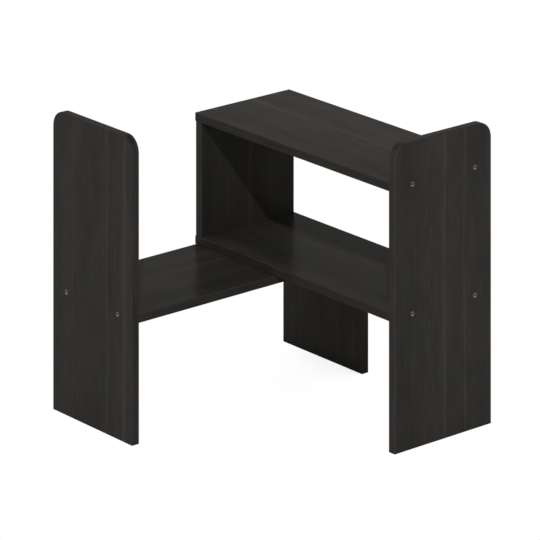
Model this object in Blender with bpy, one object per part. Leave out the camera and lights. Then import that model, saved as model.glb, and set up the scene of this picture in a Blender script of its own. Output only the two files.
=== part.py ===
"""Desktop bookshelf: two loose units of laminated board that overlap in an L.

Each unit has one tall side panel. The lower unit has a single shelf, carried by its panel and a leg.
The upper unit has two shelves with a short upright between their free ends. Its middle shelf lies on
the lower unit's shelf, so the upper unit can be swung about the middle of that overlap.

Units are metres and +Z is up. The origin is on the desk, in the middle of the footprint.
"""

from math import cos, pi, radians, sin

import bmesh
import bpy
from mathutils import Vector

# Boards
BOARD_THICKNESS = 0.012
PANEL_DEPTH = 0.174
PANEL_RISE = 0.052            # tall panel above the top shelf
PANEL_CORNER_RADIUS = 0.022   # both top corners
UNIT_LENGTH = 0.420           # outer face of a tall panel to the free end of its shelves
OPENING_HEIGHT = 0.160        # under the lower shelf, and between the upper unit's shelves
SHELF_SETBACK = 0.001         # a shelf's long edge behind the tall panel's edge
SHORT_BOARD_SETBACK = 0.001   # a leg's or upright's edge behind the shelf's edge

# Edge bands
BAND_THICKNESS = 0.001
BAND_ROUNDING = 0.0007        # radius along the band's two outer corners
GLUE_LINE = 0.0001            # between a band and its board

# Gaps between boards
BUTT_GAP = 0.0003             # where one board is screwed against another
REST_GAP = 0.0003             # between the two shelves that lie on each other

# Screws with a flat head and a hexagon socket
SCREW_FRONT_DISTANCE = 0.032  # from the tall panel's front edge
SCREW_BACK_DISTANCE = 0.0295  # from the tall panel's back edge
SCREW_LENGTH = 0.040
SHANK_DIAMETER = 0.0045
TIP_DIAMETER = 0.0016
TIP_LENGTH = 0.004
HEAD_DIAMETER = 0.0066
HEAD_RIM = 0.0008             # straight side of the head, above its cone
HEAD_CHAMFER = 0.0002
HEAD_CONE = 0.0014            # height of the cone under the rim
HEAD_RECESS = 0.0001          # top of the head below the board's face
SOCKET_ACROSS_FLATS = 0.0034
SOCKET_DEPTH = 0.0018
HOLE_CLEARANCE = 0.0003       # all round a screw

# Facets
CORNER_STEPS = 10             # in each round corner of a tall panel
ROUNDING_STEPS = 2            # in each rounded corner of a band
SCREW_SIDES = 18              # a multiple of six, so that it meets the socket

# Looks: linear red, green, blue, then roughness and metallic
LAMINATE_LOOK = ((0.045, 0.042, 0.040), 0.42, 0.0)
BAND_LOOK = ((0.043, 0.040, 0.037), 0.38, 0.0)
STEEL_LOOK = ((0.42, 0.41, 0.39), 0.32, 1.0)

# Sizes that follow from the ones above
SHELF_DEPTH = PANEL_DEPTH - 2 * SHELF_SETBACK
SHORT_BOARD_DEPTH = SHELF_DEPTH - 2 * SHORT_BOARD_SETBACK
BAND_ALLOWANCE = BAND_THICKNESS + GLUE_LINE
LOWER_SHELF_BOTTOM = OPENING_HEIGHT
LOWER_SHELF_TOP = LOWER_SHELF_BOTTOM + BOARD_THICKNESS
MIDDLE_SHELF_BOTTOM = LOWER_SHELF_TOP + REST_GAP
MIDDLE_SHELF_TOP = MIDDLE_SHELF_BOTTOM + BOARD_THICKNESS
TOP_SHELF_BOTTOM = MIDDLE_SHELF_TOP + OPENING_HEIGHT
TOP_SHELF_TOP = TOP_SHELF_BOTTOM + BOARD_THICKNESS
PANEL_HEIGHT = TOP_SHELF_TOP + PANEL_RISE

# In a unit's own frame the swing axis is at x = y = 0 and x runs from its tall panel to its free end
FREE_END = SHELF_DEPTH / 2
PANEL_OUTER_FACE = FREE_END - UNIT_LENGTH
PANEL_INNER_FACE = PANEL_OUTER_FACE + BOARD_THICKNESS
SHELF_START = PANEL_INNER_FACE + BUTT_GAP
SHORT_BOARD_MIDDLE = FREE_END - BOARD_THICKNESS / 2
# The swing axis stands this far from the middle of the footprint, in both X and Y
AXIS_OFFSET = -(PANEL_OUTER_FACE + PANEL_DEPTH / 2) / 2

ALONG = Vector((1, 0, 0))
ACROSS = Vector((0, 1, 0))
UP = Vector((0, 0, 1))
# The side of a unit's own y axis that looks into the L, once the unit is placed
FRONT_SIDE = {"lower_unit": -1, "upper_unit": 1}


def clear_scene():
    for obj in list(bpy.data.objects):
        bpy.data.objects.remove(obj, do_unlink=True)


def new_material(name, look):
    colour, roughness, metallic = look
    material = bpy.data.materials.new(name)
    material.use_nodes = True
    material.diffuse_color = (*colour, 1)
    shader = material.node_tree.nodes["Principled BSDF"]
    shader.inputs["Base Color"].default_value = (*colour, 1)
    shader.inputs["Roughness"].default_value = roughness
    shader.inputs["Metallic"].default_value = metallic
    return material


def new_unit(name, turn):
    """An empty on the swing axis, which carries one unit."""
    unit = bpy.data.objects.new(name, None)
    unit.location = (AXIS_OFFSET, AXIS_OFFSET, 0)
    unit.rotation_euler = (0, 0, turn)
    bpy.context.scene.collection.objects.link(unit)
    return unit


def loft(name, rings):
    """A closed mesh through rings of as many points each, with a flat cap on the first and the last."""
    shape = bmesh.new()
    loops = [[shape.verts.new(point) for point in ring] for ring in rings]
    for one, other in zip(loops, loops[1:]):
        for i in range(len(one)):
            shape.faces.new((one[i - 1], one[i], other[i], other[i - 1]))
    shape.faces.new(loops[0])
    shape.faces.new(loops[-1])
    bmesh.ops.recalc_face_normals(shape, faces=shape.faces)
    mesh = bpy.data.meshes.new(name)
    shape.to_mesh(mesh)
    shape.free()
    return mesh


def place(name, mesh, unit, location, look=None):
    obj = bpy.data.objects.new(name, mesh)
    obj.parent = unit
    obj.location = location
    if look:
        mesh.materials.append(look)
    bpy.context.scene.collection.objects.link(obj)
    return obj


def shade_round(obj):
    obj.data.shade_smooth()
    obj.data.set_sharp_from_angle(angle=radians(35))


def board(name, unit, location, outline, across):
    """A board whose outline lies on its middle plane, with half its thickness to each side."""
    half = across * BOARD_THICKNESS / 2
    rings = [[point + offset for point in outline] for offset in (-half, half)]
    return place(name, loft(name, rings), unit, location, MATERIALS["laminate"])


def band(name, unit, location, stations, across):
    """An edge band along stations of (point on its outer face, direction into the board)."""
    half = BOARD_THICKNESS / 2
    corner = half - BAND_ROUNDING
    profile = [(BAND_THICKNESS, -half)]
    for side, first in ((-1, pi / 2), (1, 0)):
        for step in range(ROUNDING_STEPS + 1):
            angle = first + side * step / ROUNDING_STEPS * pi / 2
            depth = BAND_ROUNDING * (1 - cos(angle))
            profile.append((depth, side * (corner + BAND_ROUNDING * sin(angle))))
    profile.append((BAND_THICKNESS, half))
    rings = [[point + inward * depth + across * aside for depth, aside in profile]
             for point, inward in stations]
    obj = place(name, loft(name, rings), unit, location, MATERIALS["band"])
    shade_round(obj)
    return obj


def straight_band(name, unit, location, ends, inward, across):
    return band(name, unit, location, [(end, inward) for end in ends], across)


def panel_edge():
    """Stations round a tall panel, up its -y edge, over both round corners and down its +y edge."""
    half = PANEL_DEPTH / 2
    stations = [(-ACROSS * half, ACROSS)]
    for side, first in ((-1, pi), (1, pi / 2)):
        centre = ACROSS * side * (half - PANEL_CORNER_RADIUS) + UP * (PANEL_HEIGHT - PANEL_CORNER_RADIUS)
        for step in range(CORNER_STEPS + 1):
            angle = first - step / CORNER_STEPS * pi / 2
            outward = ACROSS * cos(angle) + UP * sin(angle)
            stations.append((centre + outward * PANEL_CORNER_RADIUS, -outward))
    stations.append((ACROSS * half, -ACROSS))
    return stations


def tall_panel(name, unit):
    location = ALONG * (PANEL_OUTER_FACE + BOARD_THICKNESS / 2)
    stations = panel_edge()
    outline = [point + inward * BAND_ALLOWANCE for point, inward in stations]
    band(f"{name}_edge_band", unit, location, stations, ALONG)
    return board(name, unit, location, outline, ALONG)


def shelf(name, unit, bottom):
    """A shelf from the tall panel to the unit's free end, banded on both long edges and the free end."""
    location = UP * (bottom + BOARD_THICKNESS / 2)
    half = SHELF_DEPTH / 2
    core = half - BAND_ALLOWANCE
    core_end = FREE_END - BAND_ALLOWANCE
    outline = [Vector((x, y, 0)) for x, y in
               ((SHELF_START, -core), (core_end, -core), (core_end, core), (SHELF_START, core))]
    for word, side in (("front", 1), ("back", -1)):
        outward = ACROSS * side * FRONT_SIDE[unit.name]
        ends = [ALONG * x + outward * half for x in (SHELF_START, FREE_END)]
        straight_band(f"{name}_{word}_band", unit, location, ends, -outward, UP)
    ends = [ALONG * FREE_END + ACROSS * side * core for side in (-1, 1)]
    straight_band(f"{name}_end_band", unit, location, ends, -ALONG, UP)
    return board(name, unit, location, outline, UP)


def short_board(name, unit, bottom, top):
    """The leg or the upright, at the unit's free end, banded on its front and back edges."""
    location = ALONG * SHORT_BOARD_MIDDLE
    half = SHORT_BOARD_DEPTH / 2
    core = half - BAND_ALLOWANCE
    outline = [Vector((0, y, z)) for y, z in ((-core, bottom), (core, bottom), (core, top), (-core, top))]
    for word, side in (("front", 1), ("back", -1)):
        outward = ACROSS * side * FRONT_SIDE[unit.name]
        ends = [outward * half + UP * z for z in (bottom, top)]
        straight_band(f"{name}_{word}_band", unit, location, ends, -outward, ALONG)
    return board(name, unit, location, outline, ALONG)


def ring(radius, z):
    angles = [2 * pi * i / SCREW_SIDES for i in range(SCREW_SIDES)]
    return [Vector((radius * cos(angle), radius * sin(angle), z)) for angle in angles]


def hexagon(across_flats, z):
    """A hexagon with as many points as a ring, so that the two can be joined one to one."""
    points = []
    for i in range(SCREW_SIDES):
        angle = 2 * pi * i / SCREW_SIDES
        radius = across_flats / 2 / cos(angle % (pi / 3) - pi / 6)
        points.append(Vector((radius * cos(angle), radius * sin(angle), z)))
    return points


def screw_mesh(name):
    """A screw along -z, with the top of its head at z = 0."""
    head = HEAD_DIAMETER / 2
    shank = SHANK_DIAMETER / 2
    return loft(name, [
        hexagon(SOCKET_ACROSS_FLATS, -SOCKET_DEPTH),
        hexagon(SOCKET_ACROSS_FLATS, 0),
        ring(head - HEAD_CHAMFER, 0),
        ring(head, -HEAD_CHAMFER),
        ring(head, -HEAD_RIM),
        ring(shank, -HEAD_RIM - HEAD_CONE),
        ring(shank, TIP_LENGTH - SCREW_LENGTH),
        ring(TIP_DIAMETER / 2, -SCREW_LENGTH),
    ])


def hole_mesh(name):
    """The room that a screw needs, open above its head."""
    head = HEAD_DIAMETER / 2 + HOLE_CLEARANCE
    shank = SHANK_DIAMETER / 2 + HOLE_CLEARANCE
    return loft(name, [
        ring(head, HEAD_DIAMETER),
        ring(head, -HEAD_RIM),
        ring(shank, -HEAD_RIM - HEAD_CONE),
        ring(shank, -SCREW_LENGTH - HOLE_CLEARANCE),
    ])


def drive_screw(name, unit, boards, face_point, inward):
    """One screw whose head lies in the first board's face, with its hole through both boards."""
    location = face_point + inward * HEAD_RECESS
    turn = (-UP).rotation_difference(inward)
    screw = place(name, screw_mesh(name), unit, location, MATERIALS["steel"])
    hole = place(f"{name}_hole", hole_mesh(f"{name}_hole"), unit, location)
    hole.hide_render = True
    hole.display_type = "WIRE"
    for obj in (screw, hole):
        obj.rotation_mode = "QUATERNION"
        obj.rotation_quaternion = turn
    shade_round(screw)
    for piece in boards:
        cut = piece.modifiers.new(hole.name, "BOOLEAN")
        cut.operation = "DIFFERENCE"
        cut.solver = "EXACT"
        cut.object = hole


def screw_pair(name, unit, boards, middle, inward):
    for word, side, distance in (("front", 1, SCREW_FRONT_DISTANCE), ("back", -1, SCREW_BACK_DISTANCE)):
        sidestep = ACROSS * side * FRONT_SIDE[unit.name] * (PANEL_DEPTH / 2 - distance)
        drive_screw(f"{name}_{word}", unit, boards, middle + sidestep, inward)


def panel_screws(name, unit, panel, shelf_piece, shelf_bottom):
    """Two screws through the tall panel into the middle of a shelf's end."""
    middle = ALONG * PANEL_OUTER_FACE + UP * (shelf_bottom + BOARD_THICKNESS / 2)
    screw_pair(name, unit, (panel, shelf_piece), middle, ALONG)


def end_screws(name, unit, shelf_piece, upright, face_height, inward):
    """Two screws through a shelf's free end into the end of the leg or upright."""
    middle = ALONG * SHORT_BOARD_MIDDLE + UP * face_height
    screw_pair(name, unit, (shelf_piece, upright), middle, inward)


def lower_unit():
    unit = new_unit("lower_unit", turn=0)
    panel = tall_panel("left_side_panel", unit)
    only_shelf = shelf("lower_shelf", unit, LOWER_SHELF_BOTTOM)
    leg = short_board("lower_leg", unit, 0, LOWER_SHELF_BOTTOM - BUTT_GAP)
    panel_screws("left_panel_screw", unit, panel, only_shelf, LOWER_SHELF_BOTTOM)
    end_screws("lower_shelf_screw", unit, only_shelf, leg, LOWER_SHELF_TOP, -UP)


def upper_unit():
    unit = new_unit("upper_unit", turn=pi / 2)
    panel = tall_panel("right_side_panel", unit)
    middle = shelf("middle_shelf", unit, MIDDLE_SHELF_BOTTOM)
    top = shelf("top_shelf", unit, TOP_SHELF_BOTTOM)
    upright = short_board("upper_upright", unit, MIDDLE_SHELF_TOP + BUTT_GAP, TOP_SHELF_BOTTOM - BUTT_GAP)
    panel_screws("right_panel_low_screw", unit, panel, middle, MIDDLE_SHELF_BOTTOM)
    panel_screws("right_panel_high_screw", unit, panel, top, TOP_SHELF_BOTTOM)
    end_screws("middle_shelf_screw", unit, middle, upright, MIDDLE_SHELF_BOTTOM, UP)
    end_screws("top_shelf_screw", unit, top, upright, TOP_SHELF_TOP, -UP)


clear_scene()
MATERIALS = {
    "laminate": new_material("dark_wood_laminate", LAMINATE_LOOK),
    "band": new_material("dark_edge_band", BAND_LOOK),
    "steel": new_material("zinc_steel", STEEL_LOOK),
}
lower_unit()
upper_unit()
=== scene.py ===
"""Looks of the desktop bookshelf: dark wood-grain laminate, edge bands and screws, in a white studio."""
import math
from collections import namedtuple

import bpy
from mathutils import Matrix, Vector


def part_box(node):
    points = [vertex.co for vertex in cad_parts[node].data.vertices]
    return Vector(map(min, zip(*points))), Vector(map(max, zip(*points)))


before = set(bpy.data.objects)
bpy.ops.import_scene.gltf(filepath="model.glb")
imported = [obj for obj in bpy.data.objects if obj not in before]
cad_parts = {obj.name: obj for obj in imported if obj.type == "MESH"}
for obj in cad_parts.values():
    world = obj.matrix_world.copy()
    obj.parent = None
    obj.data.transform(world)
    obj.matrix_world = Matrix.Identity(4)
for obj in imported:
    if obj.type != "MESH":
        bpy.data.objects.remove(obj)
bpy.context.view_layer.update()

# Picture: where the photo's camera stands, its heading from +Y towards +X, the fall of its line of sight
# per metre forward, and the distance of the picture plane in pixels.
PICTURE_PIXELS = 540
SENSOR_WIDTH = 36.0
CAMERA_PLACE = Vector((-3.6253, -4.3153, 2.0910))
CAMERA_HEADING = math.radians(40.019)
CAMERA_SLOPE = 0.33594
FOCAL_PIXELS = 4162.4
NEAREST = 0.1
FARTHEST = 100.0

# Light: a weak key from behind the camera, and a soft sky that is a little brighter overhead and at the
# camera's left.
KEY_HEADING = math.radians(40.0)
KEY_ELEVATION = math.radians(40.0)
KEY_STRENGTH = 0.80
KEY_SPREAD = math.radians(1.2)
LOW_SKY = 0.31
HIGH_SKY = 0.44
LEFT_SKY = 0.16
LIGHT_TINT = (1.015, 1.0, 0.97, 1.0)
WHITE = (1.0, 1.0, 1.0, 1.0)

# Floor: pale to the light. To the camera it glows white, but for a faint shadow that sets in where less of
# its surroundings within reach is open than the first share, and is full at the second.
FLOOR_RADIUS = 20.0
FLOOR_SIDES = 96
FLOOR_COLOUR = (0.9, 0.9, 0.9, 1.0)
FLOOR_ROUGHNESS = 0.9
SHADOW_REACH = 0.3
SHADOW_STARTS = 0.37
SHADOW_FULL = 0.18
SHADOW_LIGHT = 0.87
SHADOW_RAYS = 16

# Boards: the axes along the grain, across it and through the board, where across the board the print's
# main streak lies, how far the print is moved along the grain, how light the print is, how strong its
# clouds, its lines and its streaks are, and how light the board's edge bands are. Both lightnesses differ
# board by board to paint in part of the light and shade that each board gets.
Board = namedtuple("Board", "along across through streak_place shift level clouds lines streaks band_level")
BOARDS = {
    "left_side_panel": Board("Z", "Y", "X", 0.0545, 9.25, 1.02, 0.42, 0.55, 1.0, 1.00),
    "lower_shelf": Board("X", "Y", "Z", 0.1400, 12.21, 0.86, 0.54, 0.36, 0.7, 0.97),
    "lower_leg": Board("Z", "Y", "X", 0.0565, 2.22, 1.10, 0.36, 0.50, 0.6, 1.08),
    "right_side_panel": Board("Z", "X", "Y", 0.1253, 12.21, 1.06, 0.55, 0.45, 1.0, 1.15),
    "middle_shelf": Board("Y", "X", "Z", 0.1455, 8.51, 0.91, 0.66, 0.38, 0.7, 0.98),
    "top_shelf": Board("Y", "X", "Z", 0.1370, 7.03, 0.98, 0.80, 0.46, 0.9, 1.00),
    "upper_upright": Board("Z", "X", "Y", 0.1280, 3.60, 0.85, 0.50, 0.50, 0.6, 1.17),
}

# Laminate print: places and widths across the grain are in metres, from the board's main streak. A streak
# has a place, a width and a strength, which is below 0 where it is dark, and a wavy figure has its waves
# per metre too.
RING_CENTRE = -0.018
RING_DEPTH = 0.020
RING_TAPER = 0.035
RINGS_PER_METRE = 260.0
STREAKS = ((0.0, 0.0024, 0.95), (0.0, 0.0075, 0.30), (0.0365, 0.0016, 0.80), (-0.0550, 0.0012, 0.30),
           (0.1120, 0.0014, 0.35), (-0.0740, 0.0150, -0.35))
FIGURES = ((-0.0220, 0.0020, 0.60, 24.0), (-0.0290, 0.0016, 0.45, 17.0), (-0.0360, 0.0018, 0.30, 21.0))
FIGURE_SWING = 0.012
FIGURE_SPREAD = 12.0
PRINT_COLOUR = (0.0450, 0.0422, 0.0401, 1.0)
STREAK_COLOUR = (0.0170, 0.0155, 0.0112, 1.0)
HUE_SWING = (0.20, 0.04, 0.12)

# The print's noises, in cells per metre along the grain, across it and through the board.
MEANDER_CELLS = (3.0, 7.0, 7.0)
RIPPLE_CELLS = (26.0, 40.0, 40.0)
CURL_CELLS = (9.0, 55.0, 55.0)
BROAD_CELLS = (2.5, 22.0, 22.0)
CLOUD_CELLS = (18.0, 60.0, 60.0)
DASH_CELLS = (45.0, 330.0, 330.0)
FIBRE_CELLS = (9.0, 230.0, 230.0)
HAIR_CELLS = (40.0, 2000.0, 2000.0)
LINED_CELLS = (2.0, 34.0, 34.0)
FADE_CELLS = (11.0, 60.0, 60.0)
BROKEN_CELLS = (34.0, 90.0, 90.0)
HUE_CELLS = (28.0, 45.0, 45.0)

# How far the print's lines stray, in metres, and how much each noise swings the print's tone.
MEANDER = 0.004
RIPPLE = 0.0020
CURL = 0.006
BROAD = 0.50
CLOUD = 0.44
RING = 0.32
DASH = 0.18
FIBRE = 0.10
HAIR = 0.10
PALE_FIBRE = 0.45
DARK_FIBRE = 0.25
FIBRE_HEIGHT = 0.6
HAIR_HEIGHT = 0.4

# Between which values of its noise each of these sets in: pale and dark fibres, patches with lines, streaks
# that haven't faded, and pieces of a broken figure.
PALE_FIBRES = (0.58, 0.80)
DARK_FIBRES = (0.42, 0.20)
LINED_PATCHES = (0.42, 0.68)
UNFADED_STREAKS = (0.15, 0.50)
FIGURE_PIECES = (0.44, 0.62)

# Laminate and edge bands: a satin finish with little gloss, and the relief of the laminate's print.
SATIN = 0.025
LAMINATE_ROUGHNESS = 0.26
LAMINATE_ROUGHNESS_SWING = 0.03
RELIEF_STRENGTH = 0.12
RELIEF_HEIGHT = 0.0002

# Bare ends of the boards: wood chips in cells per metre, their colours, and how much rougher they are. An
# end is a face that looks back along the grain at least this squarely.
CHIP_CELLS = 420.0
CRUMB_CELLS = (1800.0, 1800.0, 1800.0)
CRUMBS = 0.5
CHIP_SHADES = (0.0, 1.1)
DARK_CHIP = (0.16, 0.10, 0.055, 1.0)
PALE_CHIP = (0.42, 0.29, 0.17, 1.0)
BARE_ROUGHNESS = 0.5
SQUARELY = (0.8, 0.9)

# Edge bands: lines and patches in cells per metre across the band and along it, the painted highlight along
# the two trimmed corners, and how upward the part of a bend that gets painted shade looks, where it sets in
# and where it ends.
BAND_COLOUR = (0.0429, 0.0396, 0.0373, 1.0)
BAND_LINE_CELLS = (700.0, 14.0)
BAND_PATCH_CELLS = (90.0, 20.0)
BAND_HUE_CELLS = (30.0, 30.0, 30.0)
BAND_LINES = 0.4
BAND_PATCHES = 0.25
BAND_ROUGHNESS = 0.34
BAND_ROUGHNESS_SWING = 0.05
TRIM_WIDTH = 0.0012
ARRIS_HIGHLIGHT = 0.30
BEND_SHADE = 0.30
BEND_STARTS = (0.40, 0.80)
BEND_ENDS = (0.93, 1.0)

# Screws: stains in the zinc, the painted shade that darkens the socket where this little is open within
# reach, and how upward the socket's rough lower walls look, which carry a painted glint.
STAIN_CELLS = (900.0, 900.0, 900.0)
DARK_ZINC = (0.155, 0.155, 0.148, 1.0)
PALE_ZINC = (0.24, 0.232, 0.224, 1.0)
SOCKET_SHADE = (0.03, 0.03, 0.03, 1.0)
GLINT_COLOUR = (0.95, 0.94, 0.92, 1.0)
SOCKET_REACH = 0.003
SOCKET_RAYS = 8
SOCKET_OPENNESS = (0.2, 0.9)
GLINT_WALL_STARTS = (0.3, 0.6)
GLINT_WALL_ENDS = (0.92, 0.98)
STEEL_ROUGHNESS = 0.3
STEEL_ROUGHNESS_SWING = 0.12
LOWER_WALL_ROUGHNESS = 1.0

# Smoothing: triangle corners this near are one, and an edge that turns further than this stays sharp.
WELD = 0.000001
SHARP_TURN = math.radians(50.0)


class Graph:
    """Short ways to add nodes to one node tree. A number, a colour or an output can stand for any input."""

    def __init__(self, tree):
        self.tree = tree

    def add(self, kind, inputs=None, **settings):
        node = self.tree.nodes.new(kind)
        for name, value in settings.items():
            setattr(node, name, value)
        for name, value in (inputs or {}).items():
            self.put(node.inputs[name], value)
        return node

    def put(self, socket, value):
        if isinstance(value, bpy.types.NodeSocket):
            self.tree.links.new(value, socket)
        else:
            socket.default_value = value

    def math(self, operation, first, second=0.0):
        return self.add("ShaderNodeMath", {0: first, 1: second}, operation=operation).outputs[0]

    def vector(self, operation, first, second=(0.0, 0.0, 0.0)):
        return self.add("ShaderNodeVectorMath", {0: first, 1: second}, operation=operation).outputs[0]

    def dot(self, first, second):
        product = self.add("ShaderNodeVectorMath", {0: first, 1: second}, operation="DOT_PRODUCT")
        return product.outputs["Value"]

    def split(self, vector):
        return self.add("ShaderNodeSeparateXYZ", {"Vector": vector}).outputs

    def join(self, x, y, z):
        return self.add("ShaderNodeCombineXYZ", {"X": x, "Y": y, "Z": z}).outputs[0]

    def noise(self, place, cells, detail=2.0):
        """Noise from 0 to 1 around 0.5, in cells per metre."""
        spot = self.vector("MULTIPLY", place, cells)
        texture = self.add("ShaderNodeTexNoise", {"Vector": spot, "Scale": 1.0, "Detail": detail})
        return texture.outputs["Fac"]

    def hues(self, place, cells):
        """Patches of red, green and blue that each swing around 1."""
        spot = self.vector("MULTIPLY", place, cells)
        patches = self.add("ShaderNodeTexNoise", {"Vector": spot, "Scale": 1.0, "Detail": 3.0})
        around = self.vector("SUBTRACT", patches.outputs["Color"], (0.5, 0.5, 0.5))
        swings = self.vector("MULTIPLY", around, [2.0 * size for size in HUE_SWING])
        return self.vector("ADD", swings, (1.0, 1.0, 1.0))

    def swing(self, value, size):
        """Turns a value around 0.5 into one around 0, of that size."""
        return self.math("MULTIPLY", self.math("SUBTRACT", value, 0.5), 2.0 * size)

    def step(self, value, low, high):
        """0 at low and 1 at high, with a smooth rise between."""
        return self.add("ShaderNodeMapRange", {"Value": value, "From Min": low, "From Max": high},
                        interpolation_type="SMOOTHSTEP").outputs[0]

    def bell(self, value, centre, width):
        """1 at the centre, falling to nothing over a few widths."""
        away = self.math("DIVIDE", self.math("SUBTRACT", value, centre), width)
        return self.math("POWER", math.e, self.math("MULTIPLY", self.math("MULTIPLY", away, away), -1.0))

    def mix(self, share, first, second):
        return self.add("ShaderNodeMix", {"Factor": share, "A": first, "B": second},
                        data_type="RGBA").outputs["Result"]

    def mix_number(self, share, first, second):
        return self.add("ShaderNodeMix", {"Factor": share, "A": first, "B": second}).outputs["Result"]

    def scale(self, colour, factor):
        return self.add("ShaderNodeVectorMath", {0: colour, "Scale": factor}, operation="SCALE").outputs[0]

    def openness(self, reach, rays, own_only=False):
        """The share of the surroundings within reach that nothing closes off."""
        return self.add("ShaderNodeAmbientOcclusion", {"Distance": reach}, samples=rays,
                        only_local=own_only).outputs["AO"]


def new_material(name):
    """A node material, its graph and its Principled shader."""
    material = bpy.data.materials.new(name)
    material.use_nodes = True
    return material, Graph(material.node_tree), material.node_tree.nodes["Principled BSDF"]


def grain_group():
    """The laminate's print, as a node group. Place is in metres: x along the grain, y across it from the
    main streak, z through the board."""
    group = bpy.data.node_groups.new("grain", "ShaderNodeTree")
    group.interface.new_socket("Place", in_out="INPUT", socket_type="NodeSocketVector")
    for name in ("Clouds", "Lines", "Streak", "Height"):
        group.interface.new_socket(name, in_out="OUTPUT", socket_type="NodeSocketFloat")
    group.interface.new_socket("Hue", in_out="OUTPUT", socket_type="NodeSocketVector")
    graph = Graph(group)
    place = graph.add("NodeGroupInput").outputs["Place"]
    along, across, through = graph.split(place)

    meander = graph.swing(graph.noise(place, MEANDER_CELLS), MEANDER)
    ripple = graph.swing(graph.noise(place, RIPPLE_CELLS), RIPPLE)
    bent = graph.math("ADD", across, graph.math("ADD", meander, ripple))
    line = graph.join(along, bent, through)

    aside = graph.math("SUBTRACT", bent, RING_CENTRE)
    radius = graph.math("SQRT", graph.math("ADD", graph.math("MULTIPLY", aside, aside), RING_DEPTH ** 2))
    rise = graph.math("MULTIPLY", along, RING_TAPER)
    curl = graph.swing(graph.noise(place, CURL_CELLS), CURL)
    ring = graph.math("ADD", graph.math("SUBTRACT", radius, rise), curl)
    rings = graph.add("ShaderNodeTexNoise", {
        "W": graph.math("MULTIPLY", ring, RINGS_PER_METRE), "Scale": 1.0, "Detail": 2.0},
        noise_dimensions="1D").outputs["Fac"]

    broad = graph.noise(place, BROAD_CELLS)
    cloud = graph.noise(place, CLOUD_CELLS, 4.0)
    clouds = graph.math("ADD", graph.swing(broad, BROAD), graph.swing(cloud, CLOUD))

    dash = graph.noise(line, DASH_CELLS)
    fibre = graph.noise(line, FIBRE_CELLS)
    hair = graph.noise(line, HAIR_CELLS, 1.0)
    pale = graph.math("MULTIPLY", graph.step(fibre, *PALE_FIBRES), PALE_FIBRE)
    dark = graph.math("MULTIPLY", graph.step(fibre, *DARK_FIBRES), DARK_FIBRE)
    lines = graph.math("ADD", graph.math("SUBTRACT", pale, dark), graph.swing(rings, RING))
    lined = graph.step(graph.noise(place, LINED_CELLS, 1.0), *LINED_PATCHES)
    lines = graph.math("MULTIPLY", lines, lined)
    for noise, size in ((dash, DASH), (fibre, FIBRE), (hair, HAIR)):
        lines = graph.math("ADD", lines, graph.swing(noise, size))

    streak = 0.0
    for centre, width, strength in STREAKS:
        one = graph.math("MULTIPLY", graph.bell(bent, centre, width), strength)
        streak = graph.math("ADD", streak, one)
    streak = graph.math("MULTIPLY", streak, graph.step(graph.noise(place, FADE_CELLS), *UNFADED_STREAKS))

    pieces = graph.step(graph.noise(place, BROKEN_CELLS), *FIGURE_PIECES)
    for centre, width, strength, waves in FIGURES:
        wave = graph.swing(graph.noise(place, (waves, FIGURE_SPREAD, FIGURE_SPREAD)), FIGURE_SWING)
        one = graph.math("MULTIPLY", graph.bell(graph.math("ADD", bent, wave), centre, width), strength)
        streak = graph.math("ADD", streak, graph.math("MULTIPLY", one, pieces))

    height = graph.math("ADD", graph.swing(fibre, FIBRE_HEIGHT), graph.swing(hair, HAIR_HEIGHT))
    graph.add("NodeGroupOutput", {
        "Clouds": clouds, "Lines": lines, "Streak": streak, "Height": height,
        "Hue": graph.hues(place, HUE_CELLS)})
    return group


def raw_board(graph, place):
    """Pressed wood chips, as they show where board is cut and not covered."""
    chips = graph.add("ShaderNodeTexVoronoi", {"Vector": place, "Scale": CHIP_CELLS, "Randomness": 1.0})
    shade = graph.split(chips.outputs["Color"])[0]
    crumbs = graph.noise(place, CRUMB_CELLS, 3.0)
    shade = graph.math("ADD", graph.swing(crumbs, CRUMBS), shade)
    return graph.mix(graph.step(shade, *CHIP_SHADES), DARK_CHIP, PALE_CHIP)


def laminate(board, grain):
    """Printed laminate on a board. The end at its foot, or against its tall panel, is bare chipboard."""
    material, graph, shader = new_material("laminate_" + board)
    look = BOARDS[board]
    spot = graph.add("ShaderNodeTexCoord").outputs
    axes = graph.split(spot["Object"])
    along = graph.math("ADD", axes[look.along], look.shift)
    across = graph.math("SUBTRACT", axes[look.across], look.streak_place)
    place = graph.join(along, across, axes[look.through])
    print_ = graph.add("ShaderNodeGroup", {"Place": place}, node_tree=grain).outputs

    colour = graph.vector("MULTIPLY", print_["Hue"], PRINT_COLOUR[:3])
    tone = graph.math("ADD", 1.0, graph.math("MULTIPLY", print_["Clouds"], look.clouds))
    tone = graph.math("ADD", tone, graph.math("MULTIPLY", print_["Lines"], look.lines))
    # The board's level sets its print's lightness and also paints in part of the light and shade the board
    # gets.
    colour = graph.scale(colour, graph.math("MULTIPLY", tone, look.level))
    pale = graph.scale(STREAK_COLOUR[:3], graph.math("MULTIPLY", print_["Streak"], look.streaks))
    colour = graph.vector("ADD", colour, pale)

    backward = graph.math("MULTIPLY", graph.split(spot["Normal"])[look.along], -1.0)
    bare = graph.step(backward, *SQUARELY)
    colour = graph.mix(bare, colour, raw_board(graph, spot["Object"]))
    graph.put(shader.inputs["Base Color"], colour)

    rough = graph.math("ADD", LAMINATE_ROUGHNESS, graph.swing(print_["Height"], LAMINATE_ROUGHNESS_SWING))
    rough = graph.math("ADD", rough, graph.math("MULTIPLY", bare, BARE_ROUGHNESS))
    graph.put(shader.inputs["Roughness"], rough)
    shader.inputs["Specular IOR Level"].default_value = SATIN
    relief = graph.add("ShaderNodeBump", {
        "Height": print_["Height"], "Strength": RELIEF_STRENGTH, "Distance": RELIEF_HEIGHT})
    graph.put(shader.inputs["Normal"], relief.outputs[0])
    return material


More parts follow.
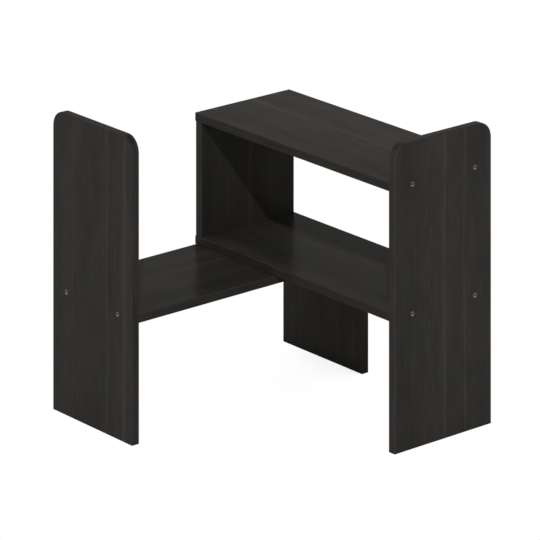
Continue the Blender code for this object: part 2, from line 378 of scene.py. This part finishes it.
def edge_band(board):
    """Printed plastic edge band. Its fine lines run along the band, whichever way it turns. Its two trimmed
    corners are painted paler as a highlight. Where it bends round a panel's corner, the part that looks
    partly upward is painted darker as shade."""
    material, graph, shader = new_material("edge_band_" + board)
    width_axis = BOARDS[board].through
    spot = graph.add("ShaderNodeTexCoord").outputs
    place = spot["Object"]
    line_cells, patch_cells = (
        [across if axis == width_axis else along for axis in "XYZ"]
        for across, along in (BAND_LINE_CELLS, BAND_PATCH_CELLS))
    lines = graph.noise(place, line_cells)
    patches = graph.noise(place, patch_cells)
    tone = graph.math("ADD", 1.0, graph.swing(lines, BAND_LINES))
    tone = graph.math("ADD", tone, graph.swing(patches, BAND_PATCHES))

    low, high = (getattr(corner, width_axis.lower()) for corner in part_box(board))
    aside = graph.math("ABSOLUTE", graph.math("SUBTRACT", graph.split(place)[width_axis], (low + high) / 2))
    half = (high - low) / 2
    # Painted highlight: the band's two long corners are painted paler.
    highlit_arris = graph.step(aside, half - TRIM_WIDTH, half - TRIM_WIDTH / 2)
    tone = graph.math("ADD", tone, graph.math("MULTIPLY", highlit_arris, ARRIS_HIGHLIGHT))

    # Painted shade: where the band bends round a corner, the part that looks partly upward is painted
    # darker.
    if width_axis != "Z":
        upward = graph.split(spot["Normal"])["Z"]
        bend_shade = graph.math("SUBTRACT", graph.step(upward, *BEND_STARTS), graph.step(upward, *BEND_ENDS))
        bend_unshaded = graph.math("SUBTRACT", 1.0, graph.math("MULTIPLY", bend_shade, BEND_SHADE))
        tone = graph.math("MULTIPLY", tone, bend_unshaded)

    colour = graph.vector("MULTIPLY", graph.hues(place, BAND_HUE_CELLS), BAND_COLOUR[:3])
    # The band's level also paints in part of the light and shade its board gets.
    tone = graph.math("MULTIPLY", tone, BOARDS[board].band_level)
    graph.put(shader.inputs["Base Color"], graph.scale(colour, tone))
    rough = graph.math("ADD", BAND_ROUGHNESS, graph.swing(lines, BAND_ROUGHNESS_SWING))
    graph.put(shader.inputs["Roughness"], rough)
    shader.inputs["Specular IOR Level"].default_value = SATIN
    return material


def steel():
    """Zinc-plated steel, with painted shade in the socket, apart from the socket's lower walls, which carry
    a painted glint.
    """
    material, graph, shader = new_material("steel")
    spot = graph.add("ShaderNodeTexCoord").outputs
    stains = graph.noise(spot["Object"], STAIN_CELLS, 3.0)
    colour = graph.mix(stains, DARK_ZINC, PALE_ZINC)
    # Painted shade: the socket is painted dark where little around it is open.
    socket_unshaded = graph.step(graph.openness(SOCKET_REACH, SOCKET_RAYS, own_only=True), *SOCKET_OPENNESS)
    colour = graph.mix(socket_unshaded, SOCKET_SHADE, colour)
    # Painted glint: the socket's upward-looking lower walls are painted bright.
    upward = graph.split(spot["Normal"])["Z"]
    glint_wall = graph.math(
        "SUBTRACT", graph.step(upward, *GLINT_WALL_STARTS), graph.step(upward, *GLINT_WALL_ENDS))
    colour = graph.mix(glint_wall, colour, GLINT_COLOUR)
    graph.put(shader.inputs["Base Color"], colour)
    shader.inputs["Metallic"].default_value = 1.0
    rough = graph.math("ADD", STEEL_ROUGHNESS, graph.swing(stains, STEEL_ROUGHNESS_SWING))
    rough = graph.mix_number(glint_wall, rough, LOWER_WALL_ROUGHNESS)
    graph.put(shader.inputs["Roughness"], rough)
    return material


def banded_board(name):
    """The board whose edge a band lies on."""
    return max((board for board in BOARDS if name.startswith(board)), key=len)


def smooth_group():
    """Geometry nodes that weld a frame mesh's loose triangles and shade its roundings smooth."""
    group = bpy.data.node_groups.new("smooth_roundings", "GeometryNodeTree")
    for way in ("INPUT", "OUTPUT"):
        group.interface.new_socket("Geometry", in_out=way, socket_type="NodeSocketGeometry")
    graph = Graph(group)
    mesh = graph.add("NodeGroupInput").outputs[0]
    mesh = graph.add("GeometryNodeMergeByDistance", {"Geometry": mesh, "Distance": WELD}).outputs[0]
    mesh = graph.add("GeometryNodeRemoveAttribute", {"Geometry": mesh, "Name": "custom_normal"}).outputs[0]
    mesh = graph.add("GeometryNodeSetShadeSmooth", {"Geometry": mesh, "Shade Smooth": True}).outputs[0]
    turn = graph.add("GeometryNodeInputMeshEdgeAngle").outputs["Unsigned Angle"]
    sharp = graph.add("FunctionNodeCompare", {"A": turn, "B": SHARP_TURN}, operation="GREATER_THAN")
    mesh = graph.add("GeometryNodeSetShadeSmooth", {
        "Geometry": mesh, "Selection": sharp.outputs[0], "Shade Smooth": False}, domain="EDGE").outputs[0]
    graph.add("NodeGroupOutput", {0: mesh})
    return group


def dress():
    """Gives every CAD node its material and smooth roundings."""
    smoothing = smooth_group()
    grain = grain_group()
    bands = {board: edge_band(board) for board in BOARDS}
    screw = steel()
    for name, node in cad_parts.items():
        if name in BOARDS:
            finish = laminate(name, grain)
        elif name.endswith("_band"):
            finish = bands[banded_board(name)]
        else:
            finish = screw
        node.data.materials.clear()
        node.data.materials.append(finish)
        node.modifiers.new("smooth_roundings", "NODES").node_group = smoothing
        node.modifiers.new("flat_faces", "WEIGHTED_NORMAL").keep_sharp = True


def direction(heading, elevation):
    """Unit vector that way, with the heading turning from +Y towards +X."""
    level = math.cos(elevation)
    return Vector((math.sin(heading) * level, math.cos(heading) * level, math.sin(elevation)))


def camera():
    """The photo's camera. The photo looks down but keeps upright edges parallel, so the image plane stands
    upright while the line of sight slopes: the camera hangs from an empty by a matrix that leans it so."""
    right = direction(CAMERA_HEADING + math.pi / 2, 0.0)
    sight = direction(CAMERA_HEADING, 0.0) - Vector((0.0, 0.0, CAMERA_SLOPE))
    reach = sight.length
    data = bpy.data.cameras.new("camera")
    data.sensor_width = SENSOR_WIDTH
    data.lens = FOCAL_PIXELS * reach * SENSOR_WIDTH / PICTURE_PIXELS
    data.clip_start = NEAREST
    data.clip_end = FARTHEST
    view = bpy.data.objects.new("camera", data)
    stand = bpy.data.objects.new("camera_stand", None)
    for item in (stand, view):
        bpy.context.scene.collection.objects.link(item)
    view.parent = stand
    lean = Matrix((right, Vector((0.0, 0.0, 1.0)), -sight / reach)).transposed().to_4x4()
    view.matrix_parent_inverse = Matrix.Translation(CAMERA_PLACE) @ lean
    bpy.context.scene.camera = view


def key_light():
    data = bpy.data.lights.new("key", "SUN")
    data.energy = KEY_STRENGTH
    data.color = LIGHT_TINT[:3]
    data.angle = KEY_SPREAD
    lamp = bpy.data.objects.new("key", data)
    bpy.context.scene.collection.objects.link(lamp)
    lamp.rotation_euler = direction(KEY_HEADING, -KEY_ELEVATION).to_track_quat("-Z", "Y").to_euler()


def surroundings():
    """The sky, which is plain white to the camera."""
    world = bpy.data.worlds.new("studio")
    bpy.context.scene.world = world
    world.use_nodes = True
    world.node_tree.nodes.clear()
    graph = Graph(world.node_tree)
    way = graph.add("ShaderNodeTexCoord").outputs["Generated"]
    level = graph.vector("NORMALIZE", graph.vector("MULTIPLY", way, (1.0, 1.0, 0.0)))
    left = graph.math("MAXIMUM", graph.dot(level, direction(CAMERA_HEADING - math.pi / 2, 0.0)), 0.0)
    sky = graph.mix_number(graph.step(graph.split(way)["Z"], 0.0, 1.0), LOW_SKY, HIGH_SKY)
    sky = graph.math("ADD", sky, graph.math("MULTIPLY", graph.math("MULTIPLY", left, left), LEFT_SKY))
    seen = graph.add("ShaderNodeLightPath").outputs["Is Camera Ray"]
    light = graph.math("MAXIMUM", sky, seen)
    tint = graph.mix(seen, LIGHT_TINT, WHITE)
    back = graph.add("ShaderNodeBackground", {"Color": tint, "Strength": light})
    graph.add("ShaderNodeOutputWorld", {"Surface": back.outputs[0]})


def floor_material():
    material, graph, shader = new_material("floor")
    shader.inputs["Base Color"].default_value = FLOOR_COLOUR
    shader.inputs["Roughness"].default_value = FLOOR_ROUGHNESS
    shader.inputs["Specular IOR Level"].default_value = 0.0
    unshaded = graph.step(graph.openness(SHADOW_REACH, SHADOW_RAYS), SHADOW_FULL, SHADOW_STARTS)
    light = graph.mix_number(unshaded, SHADOW_LIGHT, 1.0)
    glow = graph.add("ShaderNodeEmission", {"Color": WHITE, "Strength": light}).outputs[0]
    seen = graph.add("ShaderNodeLightPath").outputs["Is Camera Ray"]
    both = graph.add("ShaderNodeMixShader", {0: seen, 1: shader.outputs[0], 2: glow}).outputs[0]
    graph.put(material.node_tree.nodes["Material Output"].inputs["Surface"], both)
    material.cycles.emission_sampling = "NONE"
    return material


def floor():
    turns = [2 * math.pi * i / FLOOR_SIDES for i in range(FLOOR_SIDES)]
    ring = [(FLOOR_RADIUS * math.cos(turn), FLOOR_RADIUS * math.sin(turn), 0.0) for turn in turns]
    mesh = bpy.data.meshes.new("floor")
    mesh.from_pydata(ring, [], [tuple(range(FLOOR_SIDES))])
    mesh.materials.append(floor_material())
    item = bpy.data.objects.new("floor", mesh)
    bpy.context.scene.collection.objects.link(item)


dress()
camera()
key_light()
surroundings()
floor()
bpy.context.scene.view_settings.view_transform = "Standard"
